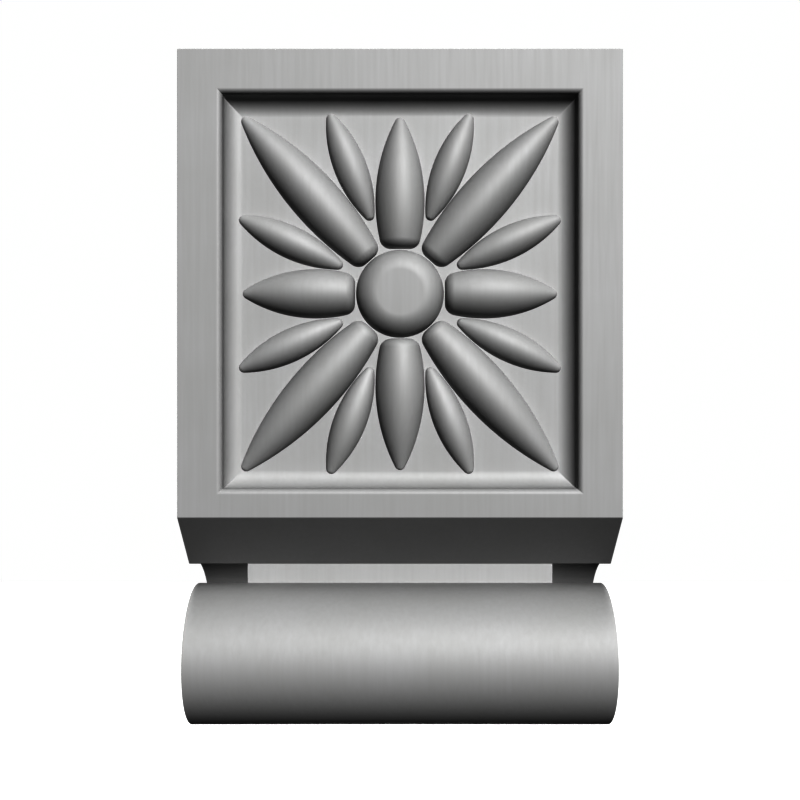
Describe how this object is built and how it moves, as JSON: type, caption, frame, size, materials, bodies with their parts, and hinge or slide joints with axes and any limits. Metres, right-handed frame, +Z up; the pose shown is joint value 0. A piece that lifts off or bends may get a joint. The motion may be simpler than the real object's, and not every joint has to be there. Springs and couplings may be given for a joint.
{
  "type": "carved bracket",
  "caption": "Block bracket with a petalled rosette in a moulded sunk panel on its front and a plain horizontal scroll under a cut-back neck; its flat back fixes to a wall.",
  "frame": {"origin": "middle of the flat back, where the bracket meets the wall", "axes": "+Z up, the carved front towards -Y, +Y into the wall, +X to the right as seen from the front"},
  "size_m": [0.15, 0.1, 0.2362],
  "materials": {
    "painted_timber": "carved timber under a satin pale grey paint"
  },
  "bodies": {
    "root": {"carved_bracket": "painted_timber"}
  },
  "joints": []
}
